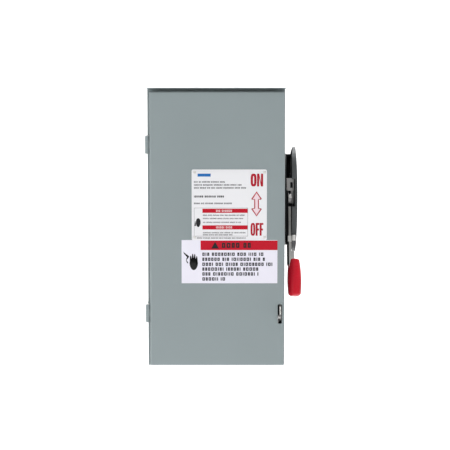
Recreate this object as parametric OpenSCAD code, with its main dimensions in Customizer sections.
// AC disconnect box: a hooded sheet-steel safety switch for the outside of a building.
// A side-hinged door covers a three-pole fused switch with rotary double-break blades.
// A lever on the right side turns the switch: grip down is OFF, grip up is ON.
//
// Frame: X to the right, Z up, the wall is the plane Y = 0 and the door faces -Y.
// "Depth" is the distance from the wall, measured towards the door (depth = -Y).
// The origin is the centre of the rectangle of wall mounting holes.

/* [Enclosure] */
// Outside width of the body
body_w = 232; // [232:1:236]
// Overall height, hood included
body_h = 472; // [470:1:474]
// Depth from the wall to the front face of the door
door_d = 165; // [164:1:168]
// Thickness of the sheet steel
sheet_t = 1.5; // [1.4:0.1:1.6]
// How far the hood stands out in front of the door
hood_overhang = 4; // [2:1:8]
// Gap between the hood and the top of the door
hood_gap = 4.8; // [4:0.1:7]

/* [Wall mounting] */
// Distance between the mounting holes across
hole_pitch_x = 152.4; // [140:0.1:160]
// Distance between the mounting holes up and down
hole_pitch_z = 406.4; // [400:0.1:410]
// Diameter of the mounting holes
hole_dia = 7.1; // [6:0.1:9]

/* [Operating lever] */
// Height of the lever's pivot above the origin
pivot_z = 44; // [43:0.5:45]
// Depth of the lever's pivot
pivot_d = 85; // [84:1:86]
// Angle of the lever below the horizontal in the OFF position
lever_off_deg = 70; // [68:1:70]
// Distance from the pivot to the middle of the grip
grip_r = 139.5; // [138:0.5:142]
// Length of the grip
grip_len = 65; // [60:1:66]
// Width of the grip
grip_w = 24.4; // [22:0.2:25]

/* [Switch] */
// Distance between neighbouring poles
pole_pitch = 50; // [49:1:51]
// X position of the middle pole
pole_mid_x = -12; // [-13:1:-12]
// Distance from the rotor axis to a blade tip
blade_r = 32; // [31:0.5:32]
// Turn of the rotor from OFF to ON
rotor_throw_deg = 63; // [60:1:65]
// Diameter of a fuse
fuse_dia = 20.6; // [20:0.1:20.8]
// Length of a fuse
fuse_len = 127; // [125:1:128]

/* [Hidden] */
$fn = 64;

// Enclosure levels
side_x = body_w / 2;
floor_z = -body_h / 2;
roof_z = body_h / 2 - sheet_t;
body_d = door_d - 18;
flange_w = 18;
opening_x = side_x - flange_w;
door_left_x = 4 - side_x;
door_right_x = side_x - 0.5;
door_top_z = roof_z - hood_gap;
door_bottom_z = floor_z + 2.5;
door_return_d = body_d + 2;
door_inner_d = door_d - sheet_t;
bend_r = 3;

// Hinges: pin axis beside the door's left edge
hinge_x = 0.1 - side_x;
hinge_d = door_d - 5;
hinge_z = [140.5, -144.5];
knuckle_r = 3.6;
knuckle_h = 30;
hinge_pin_r = 1.8;
fit_gap = 0.05;

// Latch slot in the door, with the hasp and the latch tab in it
slot_x = [104, 111];
slot_z = [-161.7, -128.7];
hasp_x = [106.9, 108.7];
hasp_z = [-146.3, -131.3];
dish_r = 12;
dish_x = 108.5;
dish_z = -144.3;
guide_x = [96, 112.5];
guide_z = [-193.3, -137.3];
guide_depth = 7;
latch_x = [100.1, 109];
latch_t = 3.4;

// Printed plates on the door
nameplate_x = [-41.2, 85.2];
nameplate_z = [-19.8, 99.5];
plate_t = 0.6;
label_x = [-58.4, 103.2];
label_z = [-92.7, -19.4];
label_t = 0.25;
rivet_r = 1.6;
rivet_places = [for (x = [nameplate_x[0] + 5, nameplate_x[1] - 4],
    z = [nameplate_z[0] + 5, nameplate_z[1] - 5]) [x, z]];

// Lever mechanism outside the right wall
base_floor_t = 4.2;
base_x = [side_x, side_x + base_floor_t];
rim_x = side_x + 13.2;
base_half_w = 36;
base_half_h = 79.5;
base_rim_t = 4;
// Half spacing of the screws that hold the base to the wall of the box, along depth and height
base_screw_reach = [22, 50];
screw_r = 2.1;
guard_x = [side_x + 13.4, side_x + 22.8];
guard_half_w = 38;
guard_half_h = 91;
guard_bow_r = 1500;
guard_tip_taper = 2.6;
guard_hollow = 5.5;
guard_rim_t = 2;
guard_screw_r = 1.4;
guard_screw_head_r = 3;
guard_screw_places = [[-18.5, 72], [-34, 40], [-34, -40], [-18.5, -72]];
// The bracket between base and guard, placed from the pivot by depth and height
bracket_d = [pivot_d - 24, pivot_d - 10];
bracket_z = [pivot_z + 14, pivot_z + 36];
bracket_t = 2;
bracket_leg_z = pivot_z - 9;
lever_x = [side_x + 5.4, side_x + 8.4];
lever_end_r = grip_r + 12;
grip_start_r = grip_r - grip_len / 2;
stiffener_x = [side_x + 8.4, side_x + 12.6];
grip_x = side_x + 17.4;
grip_corner_r = 8;
grip_swell_r = 220;
grip_widest = 0.58;
shaft_r = 6;
bushing_r = 7.2;
tab_shank_x = [stiffener_x[0] + 0.1, stiffener_x[0] + 2.7];
tab_u = [70.5, 79.5];
tab_head_v = [10.4, 19.4];
tab_hole_r = 3.3;
tab_hole_u = 75;
tab_hole_v = 15.5;
tab_travel = 7;

// The fixed padlock eye stands where the tab's hole comes to when it is pulled out at OFF
lock_eye_d = pivot_d + tab_hole_u * cos(lever_off_deg) + (tab_hole_v + tab_travel) * sin(lever_off_deg);
lock_eye_z = pivot_z - tab_hole_u * sin(lever_off_deg) + (tab_hole_v + tab_travel) * cos(lever_off_deg);

// Switch levels inside the box
pan_d = [6, 8];
deck_d = 30;
base_z = [-24, 136];
block_z = [-182, -26];
pole_x = [for (i = [-1:1]) pole_mid_x + i * pole_pitch];
base_left_x = pole_x[0] - pole_pitch / 2 - 2.5;
base_right_x = pole_x[2] + pole_pitch / 2 + 1.5;
blade_t = 3.2;
blade_w = 12;
jaw_gap = 0.25;
jaw_leaf_t = 1.6;
jaw_tip_d = pivot_d + 12;
line_jaw_z = [pivot_z + 23, pivot_z + 37];
load_jaw_z = [pivot_z - 37, pivot_z - 23];
strap_t = 2.5;
strap_half_w = 7;
rotor_r = 13;
journal_r = 5;
line_lug_z = [104, 128];
load_lug_z = [-182, -158];
lug_bore_r = 4.5;
lug_bore_d = deck_d + 11;
fuse_d = deck_d + strap_t + 1.5 + fuse_dia / 2 + 8;
fuse_mid_z = -93.5;
clip_z = [fuse_mid_z - 57, fuse_mid_z + 43];
clip_h = 14;
ferrule_h = 16;
frame_x = [66, 104];
frame_t = 2;
hook_pivot_d = pivot_d + 29;
hook_pivot_z = pivot_z + 57;
keeper_z = [hook_pivot_z + 11, hook_pivot_z + 13];
shield_hinge_d = 64;
shield_hinge_z = 142;
bar_x = [-60, 10];
neutral_z = [189, 199];
ground_z = [-204, -194];
neutral_d = [22, 36];
ground_d = [sheet_t, 15.5];
terminal_bore_r = 2.6;
terminal_x = [for (i = [0:2]) bar_x[0] + (bar_x[1] - bar_x[0]) * (2 * i + 1) / 6];
barrier_t = 2.4;
barrier_x = [for (i = [0:3]) pole_x[0] + (i - 0.5) * pole_pitch];
shield_x = [base_left_x - 1, base_right_x + 0.5];
hook_rest_deg = 14;

// Hole and knockout places: [X, Z] on the back, [X, depth, radius] in the floor
wall_holes = corners(hole_pitch_x / 2, hole_pitch_z / 2);
pan_hole_x = 84;
pan_hole_z = 172;
pan_holes = corners(pan_hole_x, pan_hole_z);
base_holes = [for (sx = [-1, 1], z = [-16, 96]) [pole_mid_x + sx * pole_pitch / 2, z]];
knockouts = [[-62, 60, 17.4], [0, 60, 22], [62, 60, 17.4], [0, 112, 11]];
hub_cover_d = 80;
hub_cover_half = 42;
hub_screw_half = 34;

// Painted and plated finishes
paint = [0.56, 0.6, 0.6];
dark_steel = [0.33, 0.34, 0.35];
zinc = [0.76, 0.77, 0.78];
black = [0.08, 0.08, 0.09];
copper = [0.75, 0.52, 0.33];
plate_white = [0.9, 0.9, 0.91];

// ---------- shared shapes ----------

// A block between two X, depth and Z levels.
module block(x, d, z) {
    translate([x[0], -d[1], z[0]]) cube([x[1] - x[0], d[1] - d[0], z[1] - z[0]]);
}

module rod_x(r, x, d, z) {
    translate([x[0], -d, z]) rotate([0, 90, 0]) cylinder(r = r, h = x[1] - x[0]);
}

module rod_d(r, d, x, z) {
    translate([x, -d[0], z]) rotate([90, 0, 0]) cylinder(r = r, h = d[1] - d[0]);
}

module rod_z(r, z, x, d) {
    translate([x, -d, z[0]]) cylinder(r = r, h = z[1] - z[0]);
}

// A flat outline with rounded corners, centred on its own origin.
module round_rect(w, h, r) {
    square([w - 2 * r, h], center = true);
    square([w, h - 2 * r], center = true);
    for (sx = [-1, 1], sy = [-1, 1]) translate([sx * (w / 2 - r), sy * (h / 2 - r)]) circle(r);
}

// A round-cornered plate facing the door.
module front_plate(x, d, z, r) {
    translate([(x[0] + x[1]) / 2, -d[0], (z[0] + z[1]) / 2]) rotate([90, 0, 0])
        linear_extrude(d[1] - d[0]) round_rect(x[1] - x[0], z[1] - z[0], r);
}

// A flat outline drawn as (depth, height), given a thickness along X.
module side_profile(x) {
    translate([x[1], 0, 0]) rotate([90, 0, -90]) linear_extrude(x[1] - x[0]) children();
}

// The lever's own frame: the pivot at the origin, the lever pointing straight at the door.
module at_lever() {
    translate([0, -pivot_d, pivot_z]) rotate([lever_off_deg, 0, 0]) children();
}

// A pan-head screw along the depth axis, with its head towards the door.
module pan_screw(x, z, d, r, head_r) {
    rod_d(r, [d[0], d[1]], x, z);
    translate([x, -d[1], z]) rotate([90, 0, 0]) difference() {
        cylinder(r1 = head_r, r2 = head_r * 0.8, h = head_r * 0.6);
        translate([-head_r, -0.5, head_r * 0.35]) cube([2 * head_r, 1, head_r]);
    }
}

// The four corners of a rectangle centred on the origin.
function corners(half_x, half_z) = [for (sx = [-1, 1], sz = [-1, 1]) [sx * half_x, sz * half_z]];

// ---------- enclosure ----------

module enclosure_shell() color(paint) {
    difference() {
        block([-side_x, side_x], [0, body_d], [floor_z, roof_z]);
        block([sheet_t - side_x, side_x - sheet_t], [sheet_t, body_d - sheet_t],
            [floor_z + sheet_t, roof_z - sheet_t]);
        block([-opening_x, opening_x], [body_d - 5, body_d + 1],
            [floor_z + flange_w, roof_z - flange_w]);
        for (p = wall_holes) rod_d(hole_dia / 2, [-1, 5], p[0], p[1]);
        for (k = knockouts) rod_z(k[2], [floor_z - 1, floor_z + 3], k[0], k[1]);
        rod_z(30, [roof_z - 3, roof_z + 1], 0, hub_cover_d);
        rod_x(bushing_r, [side_x - 3, side_x + 1], pivot_d, pivot_z);
        for (p = corners(base_screw_reach[0], base_screw_reach[1]))
            rod_x(screw_r, [side_x - 3, side_x + 1], pivot_d + p[0], pivot_z + p[1]);
        for (p = pan_holes) rod_d(screw_r, [-1, 5], p[0], p[1]);
    }
    // Standoffs that carry the back pan
    for (p = pan_holes) difference() {
        rod_d(8, [sheet_t, pan_d[0]], p[0], p[1]);
        rod_d(screw_r, [0, pan_d[0] + 1], p[0], p[1]);
    }
}

module rain_hood() color(paint) difference() {
    block([-side_x - 1.2, side_x + 1.2], [0, door_d + hood_overhang], [roof_z, roof_z + sheet_t]);
    hub_cover_block(hub_cover_half + 0.3, [roof_z - 1, roof_z + 2 * sheet_t]);
}

module hub_cover_block(half, z) {
    block([-half, half], [hub_cover_d - half, hub_cover_d + half], z);
}

module hub_cover_plate() color(paint) difference() {
    hub_cover_block(hub_cover_half, [roof_z, roof_z + sheet_t]);
    for (p = corners(hub_screw_half, hub_screw_half))
        rod_z(screw_r, [roof_z - 1, roof_z + 3], p[0], hub_cover_d + p[1]);
}

module hub_cover_screws() color(zinc) for (p = corners(hub_screw_half, hub_screw_half)) {
    rod_z(screw_r, [roof_z, roof_z + sheet_t], p[0], hub_cover_d + p[1]);
    rod_z(4, [roof_z + sheet_t, roof_z + sheet_t + 0.9], p[0], hub_cover_d + p[1]);
}

module knockout_slugs() color(paint)
    for (k = knockouts) rod_z(k[2] - 0.1, [floor_z, floor_z + sheet_t], k[0], k[1]);

// A foam strip round the flange, which the door's edge closes on.
module door_gasket() color(black) difference() {
    block([3 - side_x, side_x - 2], [body_d, body_d + 1.6], [door_bottom_z, door_top_z - 1]);
    block([-opening_x, opening_x], [body_d - 1, body_d + 3], [floor_z + flange_w, roof_z - flange_w]);
    block([hasp_x[0] - 0.4, side_x], [body_d - 1, body_d + 3], [hasp_z[0] - 14, hasp_z[1] + 14]);
}

module padlock_hasp() color(zinc) difference() {
    union() {
        side_profile(hasp_x) {
            translate([body_d, hasp_z[0]]) square([door_d + 8 - body_d, hasp_z[1] - hasp_z[0]]);
            translate([door_d + 6, (hasp_z[0] + hasp_z[1]) / 2]) circle((hasp_z[1] - hasp_z[0]) / 2);
        }
        block([hasp_x[0], side_x - 2.5], [body_d, body_d + 1.6], [hasp_z[0] - 12, hasp_z[1] + 12]);
    }
    rod_x(4.4, [hasp_x[0] - 1, hasp_x[1] + 1], door_d + 6.6, (hasp_z[0] + hasp_z[1]) / 2);
}

// ---------- hinges ----------

module body_hinge_leaves() color(dark_steel) for (z0 = hinge_z) difference() {
    union() {
        block([-side_x - sheet_t, -side_x], [hinge_d - 42, hinge_d],
            [z0 - knuckle_h / 2, z0 + knuckle_h / 2]);
        rod_z(knuckle_r, [z0 - knuckle_h / 2, z0 + knuckle_h / 2], hinge_x, hinge_d);
    }
    block([-side_x - 6, 6 - side_x], [hinge_d - 5, hinge_d + 6], [z0 - 5.2, z0 + 5.2]);
    rod_z(hinge_pin_r, [z0 - knuckle_h, z0 + knuckle_h], hinge_x, hinge_d);
}

module hinge_pins() color(zinc) for (z0 = hinge_z) {
    rod_z(hinge_pin_r, [z0 - knuckle_h / 2, z0 + knuckle_h / 2], hinge_x, hinge_d);
    rod_z(2.6, [z0 + knuckle_h / 2, z0 + knuckle_h / 2 + 1.5], hinge_x, hinge_d);
}

module door_hinge_leaves() color(dark_steel) for (z0 = hinge_z) difference() {
    union() {
        rod_z(knuckle_r, [z0 - 5, z0 + 5], hinge_x, hinge_d);
        block([hinge_x, door_left_x], [hinge_d - 2, hinge_d + 2], [z0 - 5, z0 + 5]);
        block([door_left_x - 1.3, door_left_x], [hinge_d - 9, hinge_d + 2], [z0 - 5, z0 + 5]);
    }
    rod_z(hinge_pin_r + fit_gap, [z0 - 6, z0 + 6], hinge_x, hinge_d);
}

// ---------- door ----------

// A block whose front edges and corners are rounded to the bend radius.
module rounded_front(x, d, z, r) {
    front_plate(x, [d[0], d[1] - r], z, r);
    block([x[0] + r, x[1] - r], [d[1] - r, d[1]], [z[0] + r, z[1] - r]);
    for (zc = [z[0] + r, z[1] - r]) rod_x(r, [x[0] + r, x[1] - r], d[1] - r, zc);
    for (xc = [x[0] + r, x[1] - r]) rod_z(r, [z[0] + r, z[1] - r], xc, d[1] - r);
    for (xc = [x[0] + r, x[1] - r], zc = [z[0] + r, z[1] - r])
        translate([xc, -(d[1] - r), zc]) sphere(r);
}

module door_panel() color(paint) difference() {
    rounded_front([door_left_x, door_right_x], [door_return_d, door_d],
        [door_bottom_z, door_top_z], bend_r);
    block([door_left_x + sheet_t, door_right_x - sheet_t], [door_return_d - 1, door_inner_d],
        [door_bottom_z + sheet_t, door_top_z - sheet_t]);
    front_plate(slot_x, [door_inner_d - 1, door_d + 1], slot_z, 2);
    // Round pressed dish round the slot
    intersection() {
        rod_d(dish_r, [door_d - 0.5, door_d + 1], dish_x, dish_z);
        block([90, door_right_x - bend_r], [door_d - 1, door_d + 2], [dish_z - 20, dish_z + 20]);
    }
}

module nameplate() color(plate_white) difference() {
    front_plate(nameplate_x, [door_d, door_d + plate_t], nameplate_z, 3);
    front_plate(label_x, [door_d - 1, door_d + 3], [label_z[0], label_z[1] + 0.01], 0.5);
    for (p = rivet_places) rod_d(rivet_r, [door_d - 1, door_d + 2], p[0], p[1]);
}

module nameplate_rivets() color(zinc) for (p = rivet_places) {
    rod_d(rivet_r, [door_d, door_d + plate_t], p[0], p[1]);
    translate([p[0], -door_d - plate_t, p[1]]) rotate([90, 0, 0])
        cylinder(r1 = 2.6, r2 = 1.5, h = 1.1);
}

module warning_label() color(plate_white)
    front_plate(label_x, [door_d, door_d + label_t], label_z, 0.5);

// Channel behind the slot that the latch slides in
module latch_guide() color(dark_steel) difference() {
    block(guide_x, [door_inner_d - guide_depth, door_inner_d], guide_z);
    block([latch_x[0] - 0.3, latch_x[1] + 0.3], [door_inner_d - latch_t - 0.8, door_inner_d + 1],
        [guide_z[0] + 4, guide_z[1] + 1]);
    block([guide_x[0] + 6, guide_x[1] + 0.1], [door_inner_d - guide_depth - 1, door_inner_d + 1],
        [slot_z[0] - 1, guide_z[1] + 1]);
}

module door_latch() color(zinc) {
    plate_d = [door_inner_d - latch_t - 0.4, door_inner_d - 0.4];
    block(latch_x, plate_d, [guide_z[0] + 18, slot_z[0] - 1.2]);
    block([latch_x[0], latch_x[0] + 4.9], plate_d, [guide_z[0] + 18, hasp_z[0] - 0.7]);
    // Finger tab through the slot
    side_profile([104.6, 108.7]) polygon([
        [plate_d[0], hasp_z[0] - 8], [door_inner_d + 7, hasp_z[0] - 5.5],
        [door_inner_d + 7, hasp_z[0] - 2.5], [plate_d[0], hasp_z[0] - 0.7]]);
}

// The coil is drawn as a revolved stack of wire rings.
module latch_spring() color(zinc)
    translate([(latch_x[0] + latch_x[1]) / 2, -(door_inner_d - 2.1), guide_z[0] + 4.1])
    rotate_extrude() for (i = [0:6]) translate([1.4, 0.5 + i * 0.9]) circle(0.5);

module door_keeper() color(dark_steel) {
    difference() {
        block([84, 95], [door_inner_d - 25, door_inner_d], keeper_z);
        block([86.5, 92.8], [door_inner_d - 22, door_inner_d - 3.5], [keeper_z[0] - 1, keeper_z[1] + 1]);
    }
    block([84, 95], [door_inner_d - 2, door_inner_d], [keeper_z[0] - 10, keeper_z[0]]);
}

// ---------- lever and its housing ----------

// A racetrack outline standing on end, drawn as (depth, height) about the pivot.
module racetrack(half_w, half_h) {
    for (s = [-1, 1]) translate([0, s * (half_h - half_w)]) circle(half_w);
    square([2 * half_w, 2 * (half_h - half_w)], center = true);
}

module at_pivot() {
    translate([0, -pivot_d, pivot_z]) children();
}

module handle_base() color(black) at_pivot() difference() {
    side_profile([base_x[0], rim_x]) racetrack(base_half_w, base_half_h);
    // The pan inside the rim
    side_profile([base_x[1], rim_x + 1])
        racetrack(base_half_w - base_rim_t, base_half_h - base_rim_t);
    // The open front, which the lever and its lock tab swing through
    side_profile([base_x[1], rim_x + 1])
        polygon([[14.5, -90], [50, -90], [50, 90], [-10, 90], [-10, 60], [0, 20], [0, -20]]);
    rod_x(bushing_r, [base_x[0] - 1, base_x[1] + 1], 0, 0);
    for (p = corners(base_screw_reach[0], base_screw_reach[1]))
        rod_x(screw_r, [base_x[0] - 1, base_x[0] + 3], p[0], p[1]);
    for (p = guard_screw_places) rod_x(guard_screw_r, [rim_x - 6, rim_x + 1], p[0], p[1]);
}

module handle_base_screws() color(zinc) at_pivot()
    for (p = corners(base_screw_reach[0], base_screw_reach[1])) {
        rod_x(screw_r, [side_x - sheet_t, base_x[0] + 3], p[0], p[1]);
        rod_x(4, [side_x - sheet_t - 2.4, side_x - sheet_t], p[0], p[1]);
    }

// How far out the guard's face stands at a height above the pivot
function guard_face_x(z) = guard_x[1] - z * z / (2 * guard_bow_r);

// How far out a guard screw's head sits: level with the lowest point of the face under it
function guard_screw_seat(p) = guard_face_x(abs(p[1]) + guard_screw_head_r) - 0.2;

// The guard seen edge-on, as (X, height): flat towards the wall with thinner tips, bowed outwards
module bowed_outline() {
    steps = 16;
    levels = [for (i = [-steps:steps]) i * (guard_half_h + 1) / steps];
    tip = guard_half_h + 1;
    polygon(concat([for (z = levels) [guard_face_x(z), z]],
        [[guard_x[0] + guard_tip_taper, tip], [guard_x[0], base_half_h + 1],
            [guard_x[0], -base_half_h - 1], [guard_x[0] + guard_tip_taper, -tip]]));
}

// A bowed cover plate over the hub, hollow towards the wall, with bosses for its screws.
module handle_guard() color(dark_steel) at_pivot() difference() {
    union() {
        difference() {
            intersection() {
                side_profile(guard_x) racetrack(guard_half_w, guard_half_h);
                translate([0, 2 * guard_half_w, 0]) rotate([90, 0, 0])
                    linear_extrude(4 * guard_half_w) bowed_outline();
            }
            side_profile([guard_x[0] - 1, guard_x[0] + guard_hollow])
                racetrack(guard_half_w - guard_rim_t, guard_half_h - guard_rim_t);
        }
        for (p = guard_screw_places) rod_x(3.4, [guard_x[0], guard_x[0] + guard_hollow], p[0], p[1]);
    }
    for (p = guard_screw_places) {
        rod_x(guard_screw_r, [guard_x[0] - 1, guard_x[1] + 1], p[0], p[1]);
        // Flat seat for the screw's head in the bowed face
        rod_x(guard_screw_head_r + 0.2, [guard_screw_seat(p), guard_x[1] + 1], p[0], p[1]);
    }
    // Window in the front rim, beside the bracket
    block([guard_x[0] - 1, guard_x[0] + guard_hollow], [0, guard_half_w + 1],
        [bracket_leg_z - pivot_z - 1, bracket_z[1] - pivot_z + 1]);
}

module guard_screws() color(zinc) at_pivot() for (p = guard_screw_places) {
    seat = guard_screw_seat(p);
    rod_x(guard_screw_r, [rim_x - 6, seat + 0.5], p[0], p[1]);
    rod_x(guard_screw_head_r, [seat, seat + 1], p[0], p[1]);
}

// A channel that ties the guard to the base, with a notch, a square hole and a leg beside the hub
module guard_bracket() color(zinc) {
    outer_x = guard_x[0] + guard_hollow;
    difference() {
        block([base_x[1], outer_x], bracket_d, bracket_z);
        block([base_x[1] + bracket_t, outer_x - bracket_t], [bracket_d[0] - 1, bracket_d[1] - bracket_t],
            [bracket_z[0] - 1, bracket_z[1] + 1]);
        for (x = [[base_x[1] - 1, base_x[1] + 2.2], [outer_x - 6.2, outer_x - 1.6]])
            block(x, [bracket_d[1] - 3, bracket_d[1] + 1], [bracket_z[0] + 5, bracket_z[0] + 15]);
    }
    block([guard_x[0] + 0.9, outer_x], [bracket_d[0], bracket_d[0] + 4], [bracket_leg_z, bracket_z[0] + 1]);
}

module shaft_bushing() color(black) difference() {
    rod_x(bushing_r, [side_x - sheet_t - 2, base_x[1]], pivot_d, pivot_z);
    rod_x(shaft_r + fit_gap, [side_x - 8, base_x[1] + 1], pivot_d, pivot_z);
}

// A tapered arm drawn along the lever, from one radius to another.
module tapered_arm(r, half_w) {
    polygon([[r[0], -half_w[0]], [r[1], -half_w[1]], [r[1], half_w[1]], [r[0], half_w[0]]]);
}

// A round hub and an arm that ends just inside the grip
module lever_blank() {
    side_profile(lever_x) {
        circle(15);
        tapered_arm([0, grip_start_r + 10], [13, 8]);
    }
}

module stiffener_blank() {
    side_profile(stiffener_x) tapered_arm([16, lever_end_r], [10, 6]);
    // Thicker below the guard, where the grip takes hold of it
    side_profile([stiffener_x[1], stiffener_x[1] + 5])
        tapered_arm([guard_half_h + 3, grip_r - 8], [8, 6]);
}

module handle_lever() color(black) at_lever() difference() {
    lever_blank();
    rod_x(shaft_r, [lever_x[0] - 1, lever_x[1] + 1], 0, 0);
}

module lever_stiffener() color(dark_steel) at_lever() difference() {
    stiffener_blank();
    // Channel that the lock tab slides in
    block([stiffener_x[0] - 1, tab_shank_x[1] + 0.1], [tab_u[0] + 1.4, tab_u[1] - 1.4], [-12, 12]);
}

// The grip is turned about the lever's length: rounded ends and a slightly swollen middle.
module handle_grip() color([0.72, 0.05, 0.13]) at_lever() difference() {
    translate([grip_x, -grip_start_r, 0]) rotate([90, 0, 0]) rotate_extrude() {
        r = grip_w / 2;
        intersection() {
            union() {
                translate([0, grip_corner_r]) square([r, grip_len - 2 * grip_corner_r]);
                square([r - grip_corner_r, grip_len]);
                for (z = [grip_corner_r, grip_len - grip_corner_r])
                    translate([r - grip_corner_r, z]) circle(grip_corner_r);
            }
            translate([r - grip_swell_r, grip_len * grip_widest]) circle(grip_swell_r, $fn = 720);
            square([r + 1, grip_len]);
        }
    }
    lever_blank();
    stiffener_blank();
}

module handle_shaft() color(zinc) {
    rod_x(shaft_r, [78, lever_x[1]], pivot_d, pivot_z);
    rod_x(4.5, [lever_x[1], stiffener_x[1] + 2], pivot_d, pivot_z);
}

module hub_nut() color(zinc) at_lever() difference() {
    union() {
        rod_x(11, [lever_x[1], lever_x[1] + 1.5], 0, 0);
        translate([lever_x[1] + 1.5, 0, 0]) rotate([0, 90, 0]) cylinder(r = 9, h = 4, $fn = 6);
    }
    rod_x(4.5, [lever_x[1] - 1, lever_x[1] + 9], 0, 0);
}

module drive_crank() color(dark_steel) at_lever() {
    difference() {
        side_profile([80, 84]) {
            circle(11);
            polygon([[0, -9], [24, -5], [24, 5], [0, 9]]);
            translate([24, 0]) circle(5);
        }
        rod_x(shaft_r, [79, 85], 0, 0);
    }
    rod_x(2.5, [76, 80], 24, 0);
}

// Torsion spring round the shaft, drawn as a revolved stack of wire rings
module drive_spring() color(zinc)
    translate([87, -pivot_d, pivot_z]) rotate([0, 90, 0])
        rotate_extrude() for (i = [0:5]) translate([10, 1.2 + i * 2.2]) circle(1.2);

// Padlock tab: its shank slides in the lever, and its head is pulled out towards the front.
module lock_tab() color(zinc) at_lever() difference() {
    union() {
        block(tab_shank_x, [tab_u[0] + 1.5, tab_u[1] - 1.5], [-11, tab_head_v[0] + 1]);
        block([lever_x[0] + 1, stiffener_x[1] + 0.2], tab_u, tab_head_v);
    }
    rod_x(tab_hole_r, [lever_x[0], stiffener_x[1] + 1], tab_hole_u, tab_hole_v);
}

// Fixed eye on the guard, which a padlock's shackle shares with the lock tab at OFF
module lock_eye() color(zinc) difference() {
    block([guard_x[0] + 0.2, guard_x[0] + 5.8], [pivot_d + guard_half_w, lock_eye_d + 4.5],
        [lock_eye_z - 4.5, lock_eye_z + 4.5]);
    rod_x(tab_hole_r, [guard_x[0] - 1, guard_x[1]], lock_eye_d, lock_eye_z);
}

// ---------- switch ----------

module back_pan() color(zinc) difference() {
    front_plate([-94, 94], pan_d, [-184, 184], 6);
    for (p = concat(pan_holes, base_holes)) rod_d(screw_r, [pan_d[0] - 1, pan_d[1] + 1], p[0], p[1]);
}

module back_pan_screws() color(zinc)
    for (p = pan_holes) pan_screw(p[0], p[1], [0.5, pan_d[1]], screw_r, 4);

module switch_base() color([0.14, 0.14, 0.15]) difference() {
    union() {
        front_plate([base_left_x, base_right_x], [pan_d[1], deck_d], base_z, 3);
        // Bearing tower for the left end of the rotor
        block([base_left_x - 6, base_left_x], [pan_d[1], pivot_d + 12], [pivot_z - 16, pivot_z + 16]);
    }
    rod_x(journal_r + fit_gap, [base_left_x - 7, base_left_x + 1], pivot_d, pivot_z);
    for (p = base_holes) {
        rod_d(screw_r, [pan_d[1] - 1, deck_d], p[0], p[1]);
        rod_d(4.6, [deck_d - 6, deck_d + 1], p[0], p[1]);
    }
}

module switch_base_screws() color(zinc)
    for (p = base_holes) pan_screw(p[0], p[1], [pan_d[0], deck_d - 6], screw_r, 4);

module phase_barriers() color([0.2, 0.18, 0.16]) for (x = barrier_x)
    side_profile([x - barrier_t / 2, x + barrier_t / 2]) difference() {
        union() {
            translate([deck_d, base_z[0]]) square([98, 124]);
            translate([deck_d, base_z[0]]) square([27, base_z[1] - base_z[0]]);
            translate([deck_d, block_z[0]]) square([44, block_z[1] - block_z[0]]);
        }
        translate([pivot_d, pivot_z]) circle(rotor_r + 1.5);
        translate([pivot_d, pivot_z - rotor_r - 1.5]) square([60, 2 * rotor_r + 3]);
    }

// One jaw: a strap on the deck, a post and two leaves that a blade slides between.
module jaw(x, jaw_z, strap_z) {
    block([x - strap_half_w, x + strap_half_w], [deck_d, deck_d + strap_t], strap_z);
    block([x - strap_half_w, x + strap_half_w], [deck_d + strap_t, pivot_d - 26],
        [jaw_z[0] + 2, jaw_z[1] - 2]);
    inner = blade_t / 2 + jaw_gap;
    for (s = [-1, 1]) translate([x, 0, 0]) mirror([s < 0 ? 1 : 0, 0, 0])
        block([inner, inner + jaw_leaf_t], [deck_d + strap_t, jaw_tip_d], jaw_z);
}

module line_jaws() color(copper) for (x = pole_x) jaw(x, line_jaw_z, [line_jaw_z[0], line_lug_z[1]]);

module load_jaws() color(copper) for (x = pole_x) jaw(x, load_jaw_z, [clip_z[1], load_jaw_z[1]]);

// A box lug with a wire bore along Z and a screw hole from the front
module lug(x, lug_z) {
    difference() {
        block([x - 8, x + 8], [deck_d + strap_t, deck_d + 20], lug_z);
        rod_z(lug_bore_r, [lug_z[0] - 1, lug_z[1] + 1], x, lug_bore_d);
        rod_d(3, [lug_bore_d, deck_d + 21], x, (lug_z[0] + lug_z[1]) / 2);
    }
}

module line_lugs() color([0.8, 0.81, 0.82]) for (x = pole_x) lug(x, line_lug_z);

module load_lugs() color([0.8, 0.81, 0.82]) for (x = pole_x) {
    lug(x, load_lug_z);
    block([x - strap_half_w, x + strap_half_w], [deck_d, deck_d + strap_t],
        [load_lug_z[0], clip_z[0] + clip_h]);
}

module wire_screws() color(zinc) for (x = pole_x, z = [line_lug_z, load_lug_z])
    difference() {
        rod_d(3, [lug_bore_d + lug_bore_r + 0.5, deck_d + 23], x, (z[0] + z[1]) / 2);
        block([x - 4, x + 4], [deck_d + 21, deck_d + 24],
            [(z[0] + z[1]) / 2 - 0.5, (z[0] + z[1]) / 2 + 0.5]);
    }

// Arc chutes: slotted insulating stacks that hang between the barriers
module arc_chutes() color([0.62, 0.34, 0.24]) for (x = pole_x) {
    half = (pole_pitch - barrier_t) / 2;
    difference() {
        block([x - half, x + half], [pivot_d + 16, pivot_d + 39], [pivot_z + 35, pivot_z + 53]);
        for (i = [0:3]) block([x - half + 5, x + half - 5], [pivot_d + 15, pivot_d + 35],
            [pivot_z + 37.5 + i * 4, pivot_z + 39.5 + i * 4]);
    }
}

// The lower left corner is cut away round one of the pan's screws.
module fuse_block() color([0.14, 0.14, 0.15]) difference() {
    front_plate([base_left_x, base_right_x], [pan_d[1], deck_d], block_z, 3);
    block([base_left_x - 1, 6 - pan_hole_x], [pan_d[1] - 1, deck_d + 1],
        [block_z[0] - 1, 6 - pan_hole_z]);
}

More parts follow.
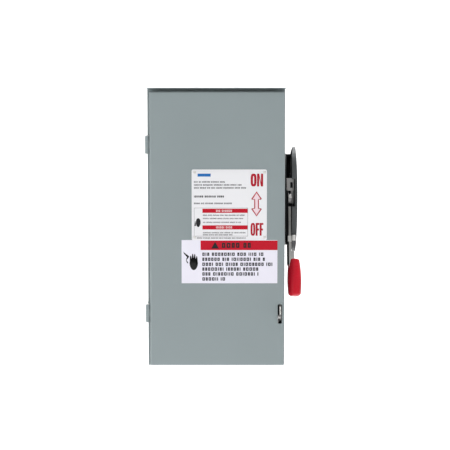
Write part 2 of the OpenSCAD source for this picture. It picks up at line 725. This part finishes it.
module fuse_clips() color(copper) for (x = pole_x, z0 = clip_z) {
    difference() {
        rod_z(fuse_dia / 2 + 1.6, [z0, z0 + clip_h], x, fuse_d);
        rod_z(fuse_dia / 2 + fit_gap, [z0 - 1, z0 + clip_h + 1], x, fuse_d);
        block([x - 6.5, x + 6.5], [fuse_d, fuse_d + 20], [z0 - 1, z0 + clip_h + 1]);
    }
    block([x - 5, x + 5], [deck_d + strap_t, fuse_d - fuse_dia / 2 - 1], [z0, z0 + clip_h]);
}

module fuse_tubes() color([0.86, 0.83, 0.72]) for (x = pole_x) {
    half = fuse_len / 2 - ferrule_h;
    rod_z(fuse_dia / 2 - 0.5, [fuse_mid_z - half, fuse_mid_z + half], x, fuse_d);
}

module fuse_ferrules() color(copper) for (x = pole_x, s = [-1, 1])
    translate([x, -fuse_d, fuse_mid_z + s * (fuse_len - ferrule_h) / 2])
        cylinder(r = fuse_dia / 2, h = ferrule_h, center = true);

module mechanism_frame() color(zinc) difference() {
    union() {
        block([frame_x[0], frame_x[0] + frame_t], [pan_d[1], pivot_d + 33], [pivot_z - 35, pivot_z + 43]);
        block([frame_x[1], frame_x[1] + frame_t], [pan_d[1], pivot_d + 37], [pivot_z - 35, pivot_z + 67]);
        block([frame_x[0], frame_x[1]], [pan_d[1], pan_d[1] + frame_t], [pivot_z - 35, pivot_z + 43]);
    }
    rod_x(journal_r + fit_gap, [frame_x[0] - 1, frame_x[0] + 3], pivot_d, pivot_z);
    rod_x(shaft_r + fit_gap, [frame_x[1] - 1, frame_x[1] + 3], pivot_d, pivot_z);
    rod_x(2.5, [frame_x[1] - 1, frame_x[1] + 3], hook_pivot_d, hook_pivot_z);
}

module interlock_pin() color(zinc) {
    rod_x(2.5, [86, frame_x[1] + frame_t], hook_pivot_d, hook_pivot_z);
    rod_x(4, [84.5, 86], hook_pivot_d, hook_pivot_z);
}

// Hook that the lever raises through the keeper's window when the switch is ON
module interlock_hook() color(dark_steel)
    translate([0, -hook_pivot_d, hook_pivot_z]) rotate([hook_rest_deg, 0, 0]) difference() {
        union() {
            side_profile([88, 91.5]) {
                circle(7);
                translate([0, -4]) square([38, 7]);
                translate([31, 0]) square([7, 9]);
            }
            rod_x(4.5, [86.3, 98], 0, 0);
        }
        rod_x(2.5 + fit_gap, [86, 99], 0, 0);
    }

module rotor_bar() color([0.55, 0.12, 0.1]) difference() {
    union() {
        rod_x(rotor_r, [base_left_x + 3, base_right_x - 3], pivot_d, pivot_z);
        rod_x(journal_r, [base_left_x - 6, 74], pivot_d, pivot_z);
    }
    blade_blanks();
}

module blade_blanks() at_pivot() rotate([rotor_throw_deg, 0, 0]) for (x = pole_x)
    block([x - blade_t / 2, x + blade_t / 2], [-blade_w / 2, blade_w / 2], [-blade_r, blade_r]);

module blades() color(copper) blade_blanks();

module rotor_crank() color(dark_steel) at_pivot() rotate([rotor_throw_deg, 0, 0]) difference() {
    side_profile([70, 74]) {
        circle(10);
        polygon([[-7, 0], [7, 0], [4, 26], [-4, 26]]);
        translate([0, 26]) circle(4);
    }
    rod_x(journal_r, [69, 75], 0, 0);
}

// ---------- terminals and shield ----------

// A bar with three wire bores along Z, and a screw hole into each from the front
module terminal_bar(d, z) difference() {
    block(bar_x, d, z);
    for (x = terminal_x) {
        rod_z(terminal_bore_r, [z[0] - 1, z[1] + 1], x, (d[0] + d[1]) / 2);
        rod_d(2, [(d[0] + d[1]) / 2, d[1] + 1], x, (z[0] + z[1]) / 2);
    }
}

module neutral_bar() color([0.8, 0.81, 0.82]) terminal_bar(neutral_d, neutral_z);

module neutral_insulators() color([0.14, 0.14, 0.15]) for (x = [bar_x[0] + 4.5, bar_x[1] - 4.5])
    rod_d(4.5, [sheet_t, neutral_d[0]], x, (neutral_z[0] + neutral_z[1]) / 2);

module ground_bar() color([0.8, 0.81, 0.82]) terminal_bar(ground_d, ground_z);

module bar_screws(d, z) for (x = terminal_x) {
    rod_d(2, [(d[0] + d[1]) / 2 + terminal_bore_r + 0.2, d[1]], x, (z[0] + z[1]) / 2);
    rod_d(3.4, [d[1], d[1] + 2], x, (z[0] + z[1]) / 2);
}

module terminal_screws() color(zinc) {
    bar_screws(neutral_d, neutral_z);
    bar_screws(ground_d, ground_z);
}

module shield_brackets() color(zinc) for (side = [0, 1]) {
    outer = side == 0 ? shield_x[0] - 2.5 : shield_x[1] + 0.5;
    block([outer, outer + 2], [pan_d[1], shield_hinge_d + 4], [shield_hinge_z - 5, shield_hinge_z + 5]);
    pin = side == 0 ? [outer, outer + 9] : [outer - 7, outer + 2];
    rod_x(1.5, pin, shield_hinge_d, shield_hinge_z);
}

module line_shield() color([0.8, 0.88, 0.92, 0.5]) difference() {
    union() {
        rod_x(3, shield_x, shield_hinge_d, shield_hinge_z);
        block(shield_x, [shield_hinge_d - 1, shield_hinge_d + 1], [104, shield_hinge_z]);
    }
    rod_x(1.5 + fit_gap, [shield_x[0] - 1, shield_x[1] + 1], shield_hinge_d, shield_hinge_z);
}

enclosure_shell();
rain_hood();
hub_cover_plate();
hub_cover_screws();
knockout_slugs();
door_gasket();
body_hinge_leaves();
hinge_pins();
padlock_hasp();
handle_base();
handle_base_screws();
handle_guard();
guard_screws();
guard_bracket();
shaft_bushing();
back_pan();
back_pan_screws();
switch_base();
switch_base_screws();
phase_barriers();
line_jaws();
load_jaws();
line_lugs();
load_lugs();
wire_screws();
arc_chutes();
fuse_block();
fuse_clips();
fuse_tubes();
fuse_ferrules();
mechanism_frame();
drive_spring();
neutral_bar();
neutral_insulators();
ground_bar();
terminal_screws();
interlock_pin();
shield_brackets();
handle_lever();
lever_stiffener();
handle_grip();
handle_shaft();
hub_nut();
drive_crank();
lock_tab();
lock_eye();
rotor_bar();
blades();
rotor_crank();
interlock_hook();
door_panel();
door_hinge_leaves();
nameplate();
nameplate_rivets();
warning_label();
latch_guide();
latch_spring();
door_keeper();
door_latch();
line_shield();
